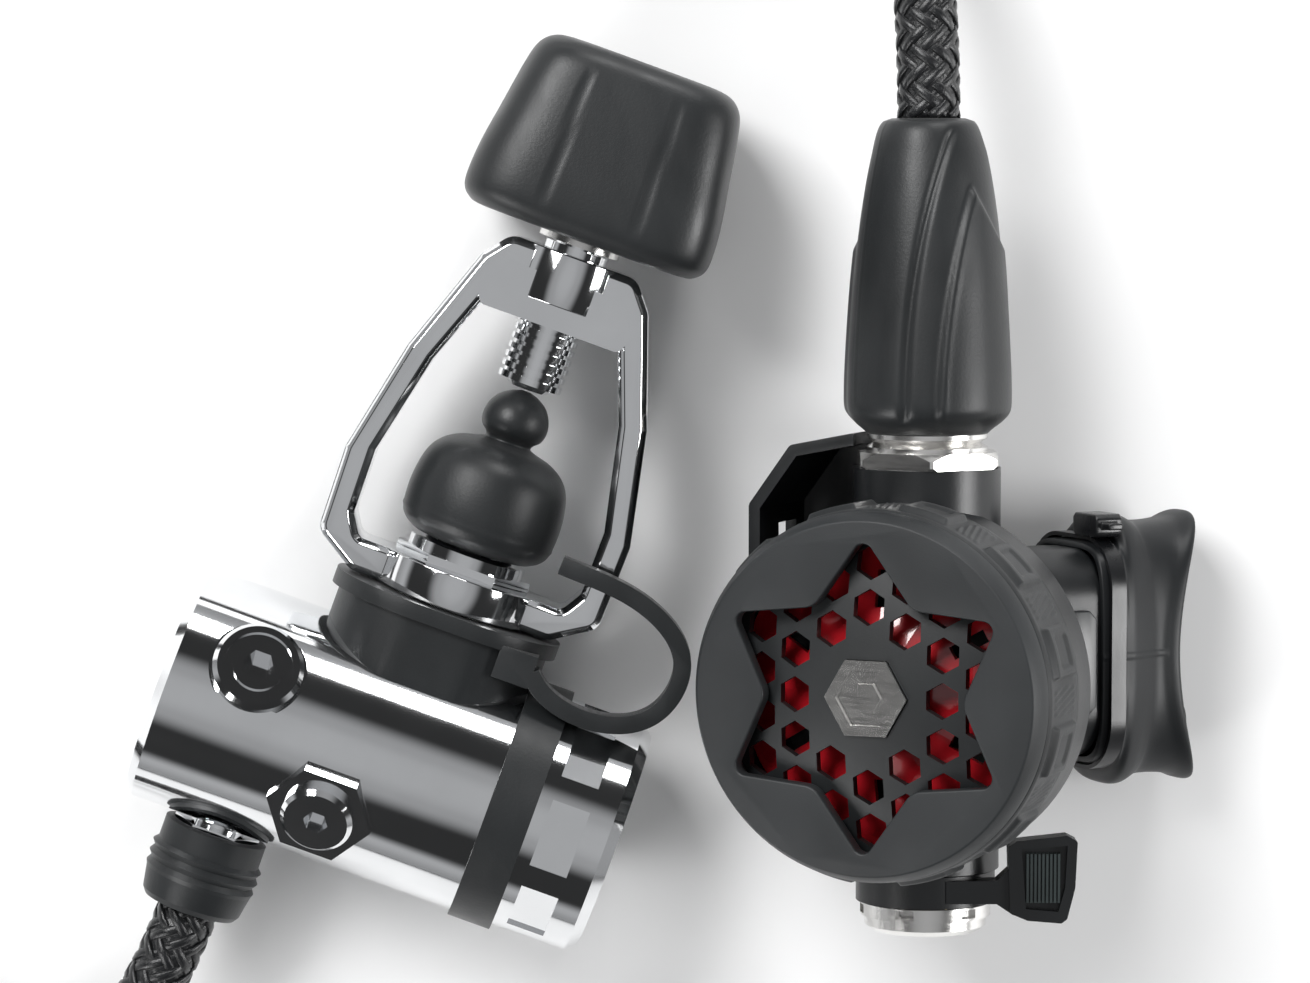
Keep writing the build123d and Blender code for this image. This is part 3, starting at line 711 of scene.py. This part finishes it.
def hoseBraid():
    points = routePoints(hoseRoute)
    length = lengthsAlong(points)[-1]
    turns, perTurn = hoseLook["turns"], hoseLook["stepsPerTurn"]
    count = turns * perTurn + 1
    frames = framesAlong(points, count)
    outer = hoseLook["diameter"] / 2 - hoseLook["strandThick"] * 0.75 - hoseLook["lift"]
    vertices, faces = [], []
    around = 20
    for here, side, up, way in frames[::8]:
        for k in range(around):
            angle = 2 * math.pi * k / around
            vertices.append(here + (side * math.cos(angle) + up * math.sin(angle)) * hoseLook["core"])
    rows = len(vertices) // around
    for i in range(rows - 1):
        for k in range(around):
            n = (k + 1) % around
            faces.append((i * around + k, i * around + n, (i + 1) * around + n, (i + 1) * around + k))
    faces.append(tuple(range(around - 1, -1, -1)))
    faces.append(tuple(range((rows - 1) * around, rows * around)))
    carriers = hoseLook["carriers"]
    for way in (1, -1):
        for carrier in range(carriers):
            base = len(vertices)
            for i, (here, side, up, ahead) in enumerate(frames):
                turn = i / perTurn
                angle = 2 * math.pi * (way * turn + carrier / carriers)
                over = math.sin(math.pi * turn * carriers + math.pi / 4) * way
                radius = outer + hoseLook["lift"] * max(-1, min(1, 1.8 * over))
                outward = side * math.cos(angle) + up * math.sin(angle)
                roundWay = (up * math.cos(angle) - side * math.sin(angle)) * way
                slope = math.atan2(2 * math.pi * radius * turns, length)
                strandWay = (ahead * math.cos(slope) + roundWay * math.sin(slope)).normalized()
                strandSide = outward.cross(strandWay)
                half = hoseLook["strandWidth"] / 2
                thick = hoseLook["strandThick"]
                middle = here + outward * radius
                vertices += [
                    middle - strandSide * half - outward * thick * 0.6,
                    middle - strandSide * half * 0.62 + outward * thick * 0.75,
                    middle + strandSide * half * 0.62 + outward * thick * 0.75,
                    middle + strandSide * half - outward * thick * 0.6,
                ]
            for i in range(count - 1):
                for k in range(4):
                    n = (k + 1) % 4
                    a = base + i * 4
                    faces.append((a + k, a + n, a + 4 + n, a + 4 + k))
            faces.append((base, base + 1, base + 2, base + 3))
            faces.append(tuple(base + (count - 1) * 4 + k for k in (3, 2, 1, 0)))
    piece = addPiece("hose_braided", vertices, faces, finishes["braidNylon"])
    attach(piece, "root")
    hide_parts("hose")
    [tuple(p) for p in points]
    print("hose", round(length, 3), "m")


hoseBraid()


# floor, light, camera

def studio():
    floor = bpy.data.meshes.new("floor")
    half = 4
    corners = [(-half, -half, 0), (half, -half, 0), (half, half, 0), (-half, half, 0)]
    floor.from_pydata(corners, [], [(0, 1, 2, 3)])
    material, tree, shader = nodeTree("pale floor")
    shader.inputs["Base Color"].default_value = (0.9, 0.9, 0.9, 1)
    shader.inputs["Roughness"].default_value = 0.6
    floor.materials.append(material)
    plate = bpy.data.objects.new("floor", floor)
    bpy.context.scene.collection.objects.link(plate)
    world = bpy.data.worlds.new("studio")
    bpy.context.scene.world = world
    world.use_nodes = True
    sky = world.node_tree
    coordinates = sky.nodes.new("ShaderNodeTexCoord")
    split = sky.nodes.new("ShaderNodeSeparateXYZ")
    sky.links.new(coordinates.outputs["Generated"], split.inputs["Vector"])
    tones = sky.nodes.new("ShaderNodeValToRGB")
    tones.color_ramp.interpolation = "EASE"
    heights = [(0.0, 0.30), (0.22, 0.42), (0.42, 0.03), (0.78, 0.03), (0.93, 0.34), (1.0, 0.42)]
    for place, _ in heights[1:-1]:
        tones.color_ramp.elements.new(place)
    for element, (place, tone) in zip(tones.color_ramp.elements, heights):
        element.position = place
        element.color = (tone, tone * 1.01, tone * 1.03, 1)
    sky.links.new(split.outputs["Z"], tones.inputs["Fac"])
    sky.links.new(tones.outputs["Color"], sky.nodes["Background"].inputs["Color"])
    lamps = {
        "key": ((-0.55, 0.7, 0.95), 0.55, 15),
        "side": ((0.95, -0.1, 0.5), 0.4, 7),
        "low": ((-0.75, -0.6, 0.55), 0.45, 5),
        "back": ((0.3, 0.95, 0.4), 0.3, 4),
    }
    for name, (place, size, power) in lamps.items():
        light = bpy.data.lights.new(name, "AREA")
        light.shape = "SQUARE"
        light.size = size
        light.energy = power
        lamp = bpy.data.objects.new(name, light)
        lamp.location = place
        lamp.rotation_euler = (-Vector(place)).to_track_quat("-Z", "Y").to_euler()
        bpy.context.scene.collection.objects.link(lamp)


def camera():
    look = {"distance": 0.8, "lean": 4.3, "target": (-0.003, 0.001, 0.032), "frameWidth": 0.236}
    lens = bpy.data.cameras.new("camera")
    lens.sensor_width = 36
    lens.lens = 36 * look["distance"] / look["frameWidth"]
    lens.clip_start = 0.01
    holder = bpy.data.objects.new("camera", lens)
    lean = math.radians(look["lean"])
    away = Vector((0, math.sin(lean), math.cos(lean)))
    up = Vector((0, math.cos(lean), -math.sin(lean)))
    place = Matrix((up.cross(away), up, away)).transposed().to_4x4()
    place.translation = Vector(look["target"]) + away * look["distance"]
    holder.matrix_world = place
    bpy.context.scene.collection.objects.link(holder)
    bpy.context.scene.camera = holder


studio()
camera()
bpy.context.scene.view_settings.view_transform = "Standard"
print("studio and camera")
